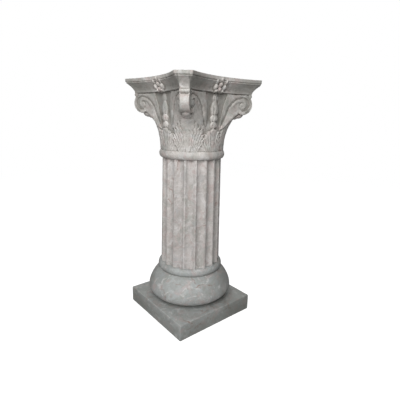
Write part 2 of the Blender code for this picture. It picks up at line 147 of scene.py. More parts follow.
def without_crumbs(field, rounds=3):
    """Gives lone grid points of stone or air to what is round them, so none skins as a crumb.

    A point is lone when fewer than two of its neighbours are like it. The first two planes
    mirror each other, since the block's copies meet between them, and are kept alike.
    """
    shrink = 0.2
    for _ in range(rounds):
        stone = field < 0
        alike = np.zeros(field.shape, int)
        for axis in range(3):
            last = field.shape[axis] - 1
            ahead = np.take(stone, np.arange(1, last + 1), axis)
            same = ahead == np.take(stone, np.arange(last), axis)
            edge = [(0, 0)] * 3
            edge[axis] = (1, 0)
            alike += np.pad(same, edge)
            edge[axis] = (0, 1)
            alike += np.pad(same, edge)
        field = np.where(alike < 2, -shrink * field, field)
        field[0], field[:, 0] = field[1], field[:, 1]
    return field


def raw_piece(name, points, faces):
    mesh = bpy.data.meshes.new(name)
    mesh.from_pydata(points.tolist(), [], faces.tolist())
    mesh.validate()
    piece = bpy.data.objects.new(name, mesh)
    bpy.context.scene.collection.objects.link(piece)
    return piece


class Wire:
    """An output of a node. Arithmetic on it adds Math nodes to the same tree."""

    def __init__(self, tree, socket=None):
        self.tree = tree
        self.socket = socket

    def node(self, kind, settings=None, inputs=None, output=0):
        """Adds any node: its settings first, then values or wires for its sockets."""
        made = self.tree.nodes.new(kind)
        for name, value in (settings or {}).items():
            setattr(made, name, value)
        for name, value in (inputs or {}).items():
            if isinstance(value, Wire):
                self.tree.links.new(value.socket, made.inputs[name])
            else:
                made.inputs[name].default_value = value
        return Wire(self.tree, made.outputs[output])

    def maths(self, operation, *terms):
        return self.node("ShaderNodeMath", {"operation": operation}, dict(enumerate(terms)))

    def __add__(self, other):
        return self.maths("ADD", self, other)

    def __sub__(self, other):
        return self.maths("SUBTRACT", self, other)

    def __rsub__(self, other):
        return self.maths("SUBTRACT", other, self)

    def __mul__(self, other):
        return self.maths("MULTIPLY", self, other)

    def __truediv__(self, other):
        return self.maths("DIVIDE", self, other)

    def __rtruediv__(self, other):
        return self.maths("DIVIDE", other, self)

    __radd__ = __add__
    __rmul__ = __mul__

    def ease(self, low, high):
        """0 below low, 1 above high and a soft rise between."""
        return self.node("ShaderNodeMapRange", {"interpolation_type": "SMOOTHSTEP"},
                         {"Value": self, "From Min": low, "From Max": high})

    def tint(self, amount, other):
        """This colour, turned towards another by an amount."""
        return self.node("ShaderNodeMix", {"data_type": "RGBA"},
                         {0: amount, 6: self, 7: other}, 2)


def stone_tree():
    """Repeats a carved part round the axis, rubs its surface down a little and names its stone.

    The rubbing only ever takes stone away, so a piece stays inside its own outline.
    """
    tree = bpy.data.node_groups.new("carved_stone", "GeometryNodeTree")
    ports = {}
    for label, kind in (("Geometry", "NodeSocketGeometry"), ("Copies", "NodeSocketInt"),
                        ("Rub Depth", "NodeSocketFloat"), ("Rub Size", "NodeSocketFloat"),
                        ("Seed", "NodeSocketFloat"), ("Stone", "NodeSocketMaterial")):
        socket = tree.interface.new_socket(label, in_out="INPUT", socket_type=kind)
        ports[label] = socket.identifier
    tree.interface.new_socket("Geometry", in_out="OUTPUT", socket_type="NodeSocketGeometry")
    made = tree.nodes.new("NodeGroupInput")
    given = {socket.name: Wire(tree, socket) for socket in made.outputs if socket.name}
    start = Wire(tree)
    spots = start.node("GeometryNodePoints", None, {"Count": given["Copies"]})
    index = start.node("GeometryNodeInputIndex")
    turn = start.node("ShaderNodeCombineXYZ", None, {"Z": index * math.tau / given["Copies"]})
    copies = start.node("GeometryNodeInstanceOnPoints", None,
                        {"Points": spots, "Instance": given["Geometry"], "Rotation": turn})
    joined = start.node("GeometryNodeRealizeInstances", None, {"Geometry": copies})
    joined = start.node("GeometryNodeMergeByDistance", None,
                        {"Geometry": joined, "Distance": WELD_DISTANCE})
    place = start.node("GeometryNodeInputPosition")
    away = start.node("GeometryNodeInputNormal")
    grain = start.node("ShaderNodeTexNoise", {"noise_dimensions": "4D"},
                       {"Vector": place, "W": given["Seed"], "Scale": 1 / given["Rub Size"],
                        "Detail": 3.0})
    depth = grain.ease(RUB_FROM, RUB_TO) * given["Rub Depth"]
    push = start.node("ShaderNodeVectorMath", {"operation": "SCALE"},
                      {0: away, "Scale": 0.0 - depth})
    rubbed = start.node("GeometryNodeSetPosition", None, {"Geometry": joined, "Offset": push})
    smooth = start.node("GeometryNodeSetShadeSmooth", None, {0: rubbed})
    named = start.node("GeometryNodeSetMaterial", None,
                       {"Geometry": smooth, "Material": given["Stone"]})
    end = tree.nodes.new("NodeGroupOutput")
    tree.links.new(named.socket, end.inputs[0])
    return tree, ports


def carve_finish(raw, name, copies, rub_depth, rub_size, stone, most_triangles, low, high):
    """Runs the stone tree on a raw carving, thins it to a plain mesh and flattens its ends.

    The mesh has at most most_triangles, and lies between the heights low and high.
    """
    tree, ports = stone_tree()
    modifier = raw.modifiers.new("carved_stone", "NODES")
    modifier.node_group = tree
    for label, value in (("Copies", copies), ("Rub Depth", rub_depth), ("Rub Size", rub_size),
                         ("Seed", 3.0), ("Stone", stone)):
        modifier[ports[label]] = value
    bpy.context.view_layer.update()
    graph = bpy.context.evaluated_depsgraph_get()
    whole = bpy.data.meshes.new_from_object(raw.evaluated_get(graph))
    piece = bpy.data.objects.new(name, whole)
    bpy.context.scene.collection.objects.link(piece)
    bpy.data.objects.remove(raw, do_unlink=True)
    thin = piece.modifiers.new("thin", "DECIMATE")
    thin.ratio = min(1.0, most_triangles / (2 * len(whole.polygons)))
    bpy.context.view_layer.update()
    graph = bpy.context.evaluated_depsgraph_get()
    mesh = bpy.data.meshes.new_from_object(piece.evaluated_get(graph))
    piece.modifiers.clear()
    piece.data = mesh
    points = np.empty(3 * len(mesh.vertices))
    mesh.vertices.foreach_get("co", points)
    points[2::3] = np.clip(points[2::3], low, high)
    mesh.vertices.foreach_set("co", points)
    mesh.polygons.foreach_set("use_smooth", [True] * len(mesh.polygons))
    return piece


def between(value, low, high):
    """0 at low, 1 at high and a soft rise between."""
    share = np.clip((value - low) / (high - low), 0.0, 1.0)
    return share * share * (3 - 2 * share)


def read_points(mesh, kind="co"):
    """The mesh's points, or with "normal" its normals, as rows of x, y and z."""
    values = np.empty(3 * len(mesh.vertices))
    mesh.vertices.foreach_get(kind, values)
    return values.reshape(-1, 3)


def store(mesh, name, values):
    """Keeps one number for each point, which the marble reads by its name."""
    layer = mesh.attributes.new(name, "FLOAT", "POINT")
    layer.data.foreach_set("value", values)


def mark_creases(piece, scales):
    """Stores how deep each point lies in a crease: 0 on open stone, 1 in a tight corner. The marble
    uses it to paint the creases darker, as painted shade and grime.

    Each scale is a number of smoothing rounds and the depth in metres that counts as full.
    """
    mesh = piece.data
    count = len(mesh.vertices)
    points, normals = read_points(mesh), read_points(mesh, "normal")
    edges = np.empty(2 * len(mesh.edges), int)
    mesh.edges.foreach_get("vertices", edges)
    edges = edges.reshape(-1, 2)
    ends = np.concatenate((edges, edges[:, ::-1]))
    shared = np.maximum(np.bincount(ends[:, 0], minlength=count), 1)[:, None]
    smooth = points
    depth = np.zeros(count)
    for rounds, full in scales:
        for _ in range(rounds):
            sums = [np.bincount(ends[:, 0], smooth[ends[:, 1], side], count) for side in range(3)]
            smooth = np.stack(sums, 1) / shared
        sunk = ((smooth - points) * normals).sum(1) / full
        depth = np.maximum(depth, np.clip(sunk, 0.0, 1.0))
    store(mesh, "crease", depth)


def mark_side_shade(piece, left, right):
    """Stores painted shade that darkens the stone on its flanks, away from the lit corner that faces
    -X -Y.

    left and right are how dark the sides towards -X +Y and +X -Y are.
    """
    dark_facing, lit_facing, least_radius = 0.20, 0.90, 0.001
    x, y, _ = read_points(piece.data).T
    out = np.maximum(np.hypot(x, y), least_radius)
    facing = (-x - y) * math.sqrt(0.5) / out
    aside = np.clip((x - y) / out, -1.0, 1.0)
    share = 1 - between(facing, dark_facing, lit_facing)
    store(piece.data, "shade_and_soiling", share * (left + (right - left) * (0.5 + 0.5 * aside)))


def marble(name, body, shade, rust, crease_shade_and_soil, ground=0.0):
    """Worn marble: cloudy grey-beige with pink, grey-green, blue-grey and pale drifts.

    body and shade are the two colours of the clouds, and crease_shade_and_soil is the colour of the
    painted shade and the grime in the creases.
    rust is how often the red-brown veins show, and ground is how far the stone darkens towards the
    foot.
    """
    stone = bpy.data.materials.new(name)
    stone.use_nodes = True
    tree = stone.node_tree
    shader = tree.nodes["Principled BSDF"]
    start = Wire(tree)
    place = start.node("ShaderNodeTexCoord", None, None, "Object")
    height = start.node("ShaderNodeSeparateXYZ", None, {0: place}, 2)
    swirl = start.node("ShaderNodeTexNoise", None,
                       {"Vector": place, "Scale": 11.0, "Detail": 4.0}, 1)
    swirled = start.node("ShaderNodeVectorMath", {"operation": "SCALE"}, {0: swirl, "Scale": 0.12})
    swirled = start.node("ShaderNodeVectorMath", {"operation": "ADD"}, {0: place, 1: swirled})

    def drift(scale, detail=4.0, offset=0.0):
        """Noise on the swirled stone; the offset keeps two drifts from running together."""
        moved = start.node("ShaderNodeVectorMath", {"operation": "ADD"},
                           {0: swirled, 1: (offset, offset, offset)})
        return start.node("ShaderNodeTexNoise", None,
                          {"Vector": moved, "Scale": scale, "Detail": detail, "Roughness": 0.6})

    mottle = drift(70.0, 5.0, 1.7)
    speck = drift(260.0, 3.0, 4.1)
    solid = start.node("ShaderNodeCombineColor", None, {0: shade[0], 1: shade[1], 2: shade[2]})
    tone = solid.tint(drift(18.0).ease(0.34, 0.66), (*body, 1.0))
    grey_green = drift(26.0, 4.0, 7.3).ease(0.50, 0.66)
    blue_grey = drift(21.0, 4.0, 51.0).ease(0.52, 0.68)
    pink = drift(34.0, 5.0, 11.9).ease(0.50, 0.64)
    pale = drift(40.0, 4.0, 15.1).ease(0.54, 0.66)
    brown = drift(85.0, 4.0, 33.0).ease(0.56, 0.68)
    tone = tone.tint(grey_green * 0.42, (0.350, 0.390, 0.345, 1.0))
    tone = tone.tint(blue_grey * 0.35, (0.400, 0.430, 0.450, 1.0))
    tone = tone.tint(pink * 0.50, (0.575, 0.450, 0.430, 1.0))
    tone = tone.tint(pale * 0.60, (0.790, 0.780, 0.770, 1.0))
    tone = tone.tint(brown * 0.36, (0.360, 0.290, 0.255, 1.0))
    tone = tone.tint(mottle.ease(0.58, 0.34) * 0.34, (0.310, 0.290, 0.260, 1.0))
    tone = tone.tint(speck.ease(0.56, 0.36) * 0.20, (0.260, 0.235, 0.215, 1.0))
    crack = start.node("ShaderNodeTexVoronoi", {"feature": "DISTANCE_TO_EDGE"},
                       {"Vector": swirled, "Scale": 21.0})
    vein = (1 - crack.ease(0.0, 0.085)) * drift(90.0, 3.0, 40.0).ease(0.38, 0.60)
    seldom = drift(13.0, 3.0, 21.7).ease(0.62 - rust, 0.76 - rust)
    tone = tone.tint(vein * seldom * 0.80, (0.270, 0.155, 0.120, 1.0))
    # The stone is darker towards the bottom.
    if ground:
        foot_darkening = (1 - height.ease(PLINTH_HEIGHT * 0.2, PLINTH_HEIGHT * 1.5)) * ground
        tone = tone.tint(foot_darkening, (0.190, 0.200, 0.180, 1.0))
    # Painted shade from the stored mark: the flanks away from the lamp and the capital's recesses
    # are darkened, on the capital with some grime.
    shade_and_soiling = start.node("ShaderNodeAttribute", {"attribute_name": "shade_and_soiling"}, None, "Fac")
    tone = tone.tint(shade_and_soiling * (0.60 + mottle * 0.8), (0.135, 0.140, 0.120, 1.0))
    # Painted shade and grime in the creases: the deeper the crease, the darker the stone.
    crease = start.node("ShaderNodeAttribute", {"attribute_name": "crease"}, None, "Fac")
    crease_shade_and_soil_amount = crease.ease(0.12, 1.15) * (0.60 + mottle * 0.4)
    tone = tone.tint(crease_shade_and_soil_amount.maths("MINIMUM", crease_shade_and_soil_amount, 0.85), (*crease_shade_and_soil, 1.0))
    tree.links.new(tone.socket, shader.inputs["Base Color"])
    rough = 0.42 + mottle * 0.16 + crease * 0.25
    tree.links.new(rough.socket, shader.inputs["Roughness"])
    surface = start.node("ShaderNodeBump", None, {"Strength": 0.40, "Distance": 0.0012,
                                                   "Height": mottle * 0.6 + speck * 0.4}, 0)
    tree.links.new(surface.socket, shader.inputs["Normal"])
    shader.inputs["Specular IOR Level"].default_value = 0.4
    return stone


def plinth_field(x, y, z):
    """Distance outside the plinth, a slab with its edges rubbed round."""
    half = 0.5 * PLINTH_WIDTH - PLINTH_EDGE
    rise = 0.5 * PLINTH_HEIGHT
    out = [np.abs(x) - half, np.abs(y) - half, np.abs(z - rise) - (rise - PLINTH_EDGE)]
    beyond = np.sqrt(sum(np.maximum(side, 0) ** 2 for side in out))
    return beyond + np.minimum(np.maximum.reduce(out), 0) - PLINTH_EDGE


def bulge(from_radius, to_radius, low, high, swelling, slope=1.0, steps=24):
    """Radii and heights of a quarter ellipse that swells out, or one that draws back in.

    A slope above 1 flattens it towards a straight line, as the top of this torus is.
    """
    turn = np.linspace(0.0, 0.5 * math.pi, steps)
    sine, cosine = np.sin(turn) ** slope, np.clip(np.cos(turn), 0.0, 1.0) ** slope
    if swelling:
        return from_radius + (to_radius - from_radius) * sine, low + (high - low) * (1 - cosine)
    return from_radius + (to_radius - from_radius) * (1 - cosine), low + (high - low) * sine


def make_base():
    bead_middle = 0.5 * (TORUS_TOP + BASE_TOP)
    parts = [([NECK_RADIUS], [PLINTH_HEIGHT]),
             bulge(NECK_RADIUS, TORUS_RADIUS, TORUS_FOOT, TORUS_WIDEST, True),
             bulge(TORUS_RADIUS, SHAFT_FOOT_RADIUS, TORUS_WIDEST, TORUS_TOP, False, TORUS_SLOPE),
             bulge(SHAFT_FOOT_RADIUS, BEAD_RADIUS, TORUS_TOP, bead_middle, True),
             bulge(BEAD_RADIUS, SHAFT_FOOT_RADIUS, bead_middle, BASE_TOP, False)]
    radii = np.concatenate([part[0] for part in parts])
    heights = np.concatenate([part[1] for part in parts])
    reach = 0.5 * PLINTH_WIDTH + 2 * BASE_STEP
    corner = (-reach, -reach, -GRID_DIP * BASE_STEP)
    x, y, z = block(corner, (reach, reach, BASE_TOP + 2 * BASE_STEP), BASE_STEP)
    rings = np.hypot(x, y) - np.interp(z, heights, radii)
    rings = np.maximum(rings, z - BASE_TOP)
    turned = np.maximum(rings, PLINTH_HEIGHT - NECK_SUNK - z)
    field = np.minimum(plinth_field(x, y, z), turned)
    points, faces = skin(field, corner, BASE_STEP)
    # The crease colour given below is painted shade and grime in the creases.
    stone = marble("base_marble", body=(0.51, 0.535, 0.53), shade=(0.40, 0.425, 0.42), rust=0.10,
                   crease_shade_and_soil=(0.20, 0.20, 0.175), ground=0.46)
    base = carve_finish(raw_piece("base_raw", points, faces), "column_base", copies=1,
                        rub_depth=0.0006, rub_size=0.020, stone=stone, most_triangles=120000,
                        low=0.0, high=BASE_TOP)
    mark_creases(base, ((3, 0.0006), (10, 0.0022)))
    # Painted shade: the flanks that turn away from the lamp are darkened.
    mark_side_shade(base, left=0.26, right=0.42)
    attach(base, "root")
    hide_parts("base")


make_base()


# The shaft is one drum of the same stone that tapers a little, with eighteen shallow flutes
# and narrow flat fillets between them. It stands on the bead and carries the capital.
SHAFT_FOOT = 0.2143
SHAFT_TOP = 0.6253
SHAFT_TOP_RADIUS = 0.111
FLUTES = 18
FLUTE_DEPTH = 0.009
FILLET_WIDTH = 0.0065
POINTS_PER_FLUTE = 28
SHAFT_ROWS = 90
SHAFT_RUB_DEPTH = 0.0008
# The rubbing noise is read on a drum of radius 1, its height in metres stretched this much.
SHAFT_RUB_STRETCH = 6.0
SHAFT_RUB_SCALE = 5.0
SHARP_ANGLE = 50
# Rounds of smoothing, and the depth in metres that counts as full, for three sizes of crease.
CREASE_SCALES = ((3, 0.0006), (12, 0.0016), (60, 0.0050))


def flute_tree():
    """A drum whose side is pressed into round-bottomed flutes, and rubbed down unevenly."""
    tree = bpy.data.node_groups.new("fluted_shaft", "GeometryNodeTree")
    ports = {}
    for label, kind in (("Flutes", "NodeSocketInt"), ("Points Per Flute", "NodeSocketInt"),
                        ("Rows", "NodeSocketInt"), ("Foot", "NodeSocketFloat"),
                        ("Height", "NodeSocketFloat"), ("Foot Radius", "NodeSocketFloat"),
                        ("Top Radius", "NodeSocketFloat"), ("Flute Depth", "NodeSocketFloat"),
                        ("Fillet Width", "NodeSocketFloat"), ("Rub Depth", "NodeSocketFloat"),
                        ("Seed", "NodeSocketFloat"), ("Stone", "NodeSocketMaterial")):
        socket = tree.interface.new_socket(label, in_out="INPUT", socket_type=kind)
        ports[label] = socket.identifier
    tree.interface.new_socket("Geometry", in_out="OUTPUT", socket_type="NodeSocketGeometry")
    made = tree.nodes.new("NodeGroupInput")
    given = {socket.name: Wire(tree, socket) for socket in made.outputs if socket.name}
    start = Wire(tree)
    around = given["Flutes"] * given["Points Per Flute"]
    drum = start.node("GeometryNodeMeshCylinder", {"fill_type": "NGON"},
                      {"Vertices": around, "Side Segments": given["Rows"], "Radius": 1.0,
                       "Depth": 1.0})
    place = start.node("GeometryNodeInputPosition")
    split = [start.node("ShaderNodeSeparateXYZ", None, {0: place}, side) for side in range(3)]
    share = split[2] + 0.5
    radius = given["Foot Radius"] + (given["Top Radius"] - given["Foot Radius"]) * share
    pitch = math.tau / given["Flutes"]
    flute_angle = (pitch - given["Fillet Width"] / radius) * 0.5
    angle = start.maths("ARCTAN2", split[1], split[0])
    turns = (angle + 0.5 * math.pi) / pitch
    local = start.maths("ABSOLUTE", (turns - start.maths("ROUND", turns)) * pitch)
    half_width = radius * start.maths("SINE", flute_angle)
    depth = given["Flute Depth"]
    bow = (half_width * half_width + depth * depth) / (depth * 2.0)
    centre = radius * start.maths("COSINE", flute_angle) - depth + bow
    across = centre * start.maths("SINE", local)
    hollow = centre * start.maths("COSINE", local) - start.maths("SQRT", start.maths(
        "MAXIMUM", bow * bow - across * across, 0.0))
    in_flute = start.maths("LESS_THAN", local, flute_angle)
    cut = radius + (hollow - radius) * in_flute
    along = split[2] * given["Height"]
    unit = start.node("ShaderNodeCombineXYZ", None,
                      {"X": split[0], "Y": split[1], "Z": along * SHAFT_RUB_STRETCH})
    grain = start.node("ShaderNodeTexNoise", {"noise_dimensions": "4D"},
                       {"Vector": unit, "W": given["Seed"], "Scale": SHAFT_RUB_SCALE, "Detail": 4.0})
    cut = cut - grain.ease(RUB_FROM, RUB_TO) * given["Rub Depth"]
    moved = start.node("ShaderNodeCombineXYZ", None,
                       {"X": split[0] * cut, "Y": split[1] * cut,
                        "Z": along + given["Foot"] + given["Height"] * 0.5})
    fluted = start.node("GeometryNodeSetPosition", None, {"Geometry": drum, "Position": moved})
    smooth = start.node("GeometryNodeSetShadeSmooth", None, {0: fluted})
    whole = start.node("GeometryNodeRealizeInstances", None, {"Geometry": smooth})
    named = start.node("GeometryNodeSetMaterial", None,
                       {"Geometry": whole, "Material": given["Stone"]})
    end = tree.nodes.new("NodeGroupOutput")
    tree.links.new(named.socket, end.inputs[0])
    return tree, ports


def make_shaft():
    # The crease colour given below is painted shade and grime in the creases.
    stone = marble("shaft_marble", body=(0.70, 0.665, 0.645), shade=(0.58, 0.55, 0.53), rust=0.07,
                   crease_shade_and_soil=(0.18, 0.165, 0.15))
    holder = bpy.data.objects.new("shaft_holder", bpy.data.meshes.new("shaft_holder"))
    bpy.context.scene.collection.objects.link(holder)
    tree, ports = flute_tree()
    modifier = holder.modifiers.new("fluted_shaft", "NODES")
    modifier.node_group = tree
    for label, value in (("Flutes", FLUTES), ("Points Per Flute", POINTS_PER_FLUTE),
                         ("Rows", SHAFT_ROWS), ("Foot", SHAFT_FOOT),
                         ("Height", SHAFT_TOP - SHAFT_FOOT),
                         ("Foot Radius", SHAFT_FOOT_RADIUS), ("Top Radius", SHAFT_TOP_RADIUS),
                         ("Flute Depth", FLUTE_DEPTH), ("Fillet Width", FILLET_WIDTH),
                         ("Rub Depth", SHAFT_RUB_DEPTH), ("Seed", 5.0), ("Stone", stone)):
        modifier[ports[label]] = value
    bpy.context.view_layer.update()
    graph = bpy.context.evaluated_depsgraph_get()
    mesh = bpy.data.meshes.new_from_object(holder.evaluated_get(graph))
    bpy.data.objects.remove(holder, do_unlink=True)
    shaft = bpy.data.objects.new("column_shaft", mesh)
    bpy.context.scene.collection.objects.link(shaft)
    mesh.set_sharp_from_angle(angle=math.radians(SHARP_ANGLE))
    mark_creases(shaft, CREASE_SCALES)
    # Painted shade: the flanks that turn away from the lamp are darkened.
    mark_side_shade(shaft, left=0.12, right=0.14)
    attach(shaft, "root")
    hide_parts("shaft")


make_shaft()


# The capital is one block of the same stone: an astragal ring and a bell dressed in acanthus,
# four corner volutes on flat stems, and a hollow-sided abacus with a flower on each face. It
# lies loose on the shaft.
CAPITAL_FOOT = 0.6256
BELL_FOOT = 0.6556
ABACUS_FOOT = 0.8526
CAPITAL_TOP = 0.9000
CAPITAL_STEP = 0.0015
ASTRAGAL_RADIUS = 0.123
BELL_FOOT_RADIUS = 0.113
BELL_LIP_RADIUS = 0.121
HORN_REACH = 0.243
HORN_WIDTH = 0.058
ABACUS_HOLLOW = 0.034
ABACUS_INSET = 0.0245
HORN_INSET_RATIO = 1.24
SCROLL_REACH = 0.1815
SCROLL_RADIUS = 0.035
SCROLL_HEIGHT = ABACUS_FOOT - SCROLL_RADIUS
SCROLL_HALF_FRONT = 0.0145
EYE_REACH = 0.1812
EYE_HEIGHT = 0.8125
EYE_RADIUS = 0.0095


def joined(first, second, soft=0.0015):
    """Two carved forms run together, with a soft seam between them."""
    mix = np.clip(0.5 + 0.5 * (second - first) / soft, 0.0, 1.0)
    return second + (first - second) * mix - soft * mix * (1 - mix)


def trimmed(first, second, soft=0.0015):
    """The stone that two forms share, with a softened edge."""
    return -joined(-first, -second, soft)


def ridge(away, width):
    """1 on a line or a point, falling softly to 0 beside it."""
    return np.exp(-(away / width) ** 2)


def bell_radius(z):
    flare, height = BELL_LIP_RADIUS - BELL_FOOT_RADIUS, ABACUS_FOOT - BELL_FOOT
    return BELL_FOOT_RADIUS + flare * (z - BELL_FOOT) / height


def core_field(r, z):
    """The astragal ring and the plain bell behind the leaves."""
    middle = 0.5 * (CAPITAL_FOOT + BELL_FOOT)
    low = bulge(SHAFT_TOP_RADIUS, ASTRAGAL_RADIUS, CAPITAL_FOOT, middle, True)
    high = bulge(ASTRAGAL_RADIUS, BELL_FOOT_RADIUS, middle, BELL_FOOT, False)
    into_abacus = 0.004
    heights = np.concatenate((low[1], high[1], [ABACUS_FOOT + into_abacus]))
    radii = np.concatenate((low[0], high[0], [BELL_LIP_RADIUS]))
    return r - np.interp(z, heights, radii)


def abacus_field(p, q, u, z):
    """Four hollow sides between cut horns: a fillet, a quirk, a thin bead and a deep cavetto."""
    height = CAPITAL_TOP - ABACUS_FOOT
    # Where the fillet, the quirk and the bead end below the top, as shares of the height, where
    # the form below each of the first two starts, and the share that the cavetto takes.
    fillet, quirk, bead = 0.235, 0.280, 0.355
    quirk_start, bead_start, cavetto = 0.2351, 0.2801, 0.645
    # How far each stands back from the fillet, as shares of the whole inset, and the share
    # over which the cavetto then sweeps in.
    quirk_inset, bead_inset, cavetto_inset, cavetto_sweep = 0.15, 0.07, 0.17, 0.83
    share = np.linspace(0.0, 1.0, 24)
    hollow = np.sin(0.5 * math.pi * share) ** 0.95
    drops = np.concatenate(([0.0, fillet, quirk_start, quirk, bead_start, bead],
                            bead + cavetto * share))
    insets = np.concatenate(([0.0, 0.0, quirk_inset, quirk_inset, bead_inset, bead_inset],
                             cavetto_inset + cavetto_sweep * hollow))
    inset = ABACUS_INSET * np.interp(CAPITAL_TOP - z, drops * height, insets)
    half_horn = 0.5 * HORN_WIDTH
    half_chord = (HORN_REACH - half_horn) * math.sqrt(0.5)
    bow = (half_chord ** 2 + ABACUS_HOLLOW ** 2) / (2 * ABACUS_HOLLOW)
    centre = (HORN_REACH + half_horn) * math.sqrt(0.5) - ABACUS_HOLLOW + bow
    side = bow + inset - np.hypot(centre - p, q)
    horn = u - (HORN_REACH - inset * HORN_INSET_RATIO)
    return trimmed(trimmed(side, horn, 0.002), ABACUS_FOOT - z, 0.001)


def lobes(slope, edges):
    """Where a point lies in its lobe (-1 to 1 from side to side), and the number of the lobe."""
    number = np.clip(np.searchsorted(edges, slope) - 1, 0, len(edges) - 2)
    low, high = np.take(edges, number), np.take(edges, number + 1)
    return np.clip(2 * (slope - low) / (high - low) - 1, -1.0, 1.0), number


def leaf_field(r, s, z, focus, height, lean, edges, tops, thick):
    """An acanthus leaf on the bell: a broad tongue with ribbed fingers that fan out beside it.

    s is the distance from the leaf's middle. The fingers fan from the height focus, under the
    foot, and edges are their bounds as slopes from it; tops are how high each reaches, as a
    share of the leaf's height. lean is how far the tip stands out over the bell.
    """
    slope = np.abs(s) / (z - focus) + 0.010 * np.sin(z * 330) + 0.008 * np.sin(z * 190 + 1.0)
    slope = np.maximum(slope, 0.0)
    place, number = lobes(slope, np.array(edges))
    tongue = number == 0
    crown = np.take(np.array(tops), number) * height
    place = np.where(tongue, slope / edges[1], place)
    round_tip = np.where(tongue, 0.0040, 0.0085) * place ** 2
    top = BELL_FOOT + crown - round_tip
    share = np.clip((z - BELL_FOOT) / height, 0.0, 1.1)
    own_share = np.clip((z - BELL_FOOT) / np.maximum(crown, 0.01), 0.0, 1.1)
    swell = np.where(tongue, 0.0013 * (1 - place ** 4), 0.0024 * (1 - place ** 2) ** 0.7)
    ribs = np.where(tongue, 0.0004 * np.cos(place * 8.0), 0.0005 * np.cos(place * 9.4))
    ribs = ribs * between(share, 0.0, 0.3)
    half_leaf = 0.050
    spread = np.clip(np.abs(s) / half_leaf, 0.0, 1.0)
    out = lean * share ** 2.7 * (1 - 0.80 * spread ** 2.5)
    curl = np.where(tongue, 0.0, 0.0042 * own_share ** 5 * (1 - 0.6 * np.abs(place)))
    blade = 0.55 * thick * (1 - 0.5 * spread) * (1 - 0.3 * share)
    radius = bell_radius(z) + blade + swell + ribs + out + curl
    body = r - np.minimum(radius, bell_radius(z) + thick + out)
    sunk_in_bell = 0.004
    inner = bell_radius(z) - sunk_in_bell - r
    return trimmed(trimmed(body, z - top, 0.0025), inner, 0.001)


def scroll_half(u, z):
    """Half the width of a corner's volute block, which follows the hollow of the abacus."""
    back = SCROLL_REACH + SCROLL_RADIUS - u
    drop = ABACUS_FOOT - z
    return SCROLL_HALF_FRONT + 0.277 * back + 2.5 * back * np.abs(back) - 1.3 * back * drop


def path_field(u, z, points):
    """Distance to a path of straight runs in the (u, z) plane."""
    nearest = np.full(u.shape, 1e3, np.float32)
    for (u1, z1), (u2, z2) in zip(points, points[1:]):
        length = (u2 - u1) ** 2 + (z2 - z1) ** 2
        along = np.clip(((u - u1) * (u2 - u1) + (z - z1) * (z2 - z1)) / length, 0.0, 1.0)
        away = (u - u1 - along * (u2 - u1)) ** 2 + (z - z1 - along * (z2 - z1)) ** 2
        nearest = np.minimum(nearest, away)
    return np.sqrt(nearest)


def polygon_field(u, z, corners):
    """Distance to a closed outline in the (u, z) plane, negative inside it."""
    outline = corners + corners[:1]
    inside = np.zeros(u.shape, bool)
    for (u1, z1), (u2, z2) in zip(outline, outline[1:]):
        if z1 != z2:
            spans = (z1 > z) != (z2 > z)
            inside ^= spans & (u < (u2 - u1) * (z - z1) / (z2 - z1) + u1)
    return np.where(inside, -1, 1) * path_field(u, z, outline)


def scroll_points(radius_from, radius_to, turn_from, turn_to, steps=20):
    """Points round the scroll's eye; turns are degrees from straight up, outwards first."""
    points = []
    for step in range(steps + 1):
        radius = radius_from + (radius_to - radius_from) * step / steps
        turn = math.radians(turn_from + (turn_to - turn_from) * step / steps)
        points.append((SCROLL_REACH + radius * math.sin(turn),
                       SCROLL_HEIGHT + radius * math.cos(turn)))
    return points


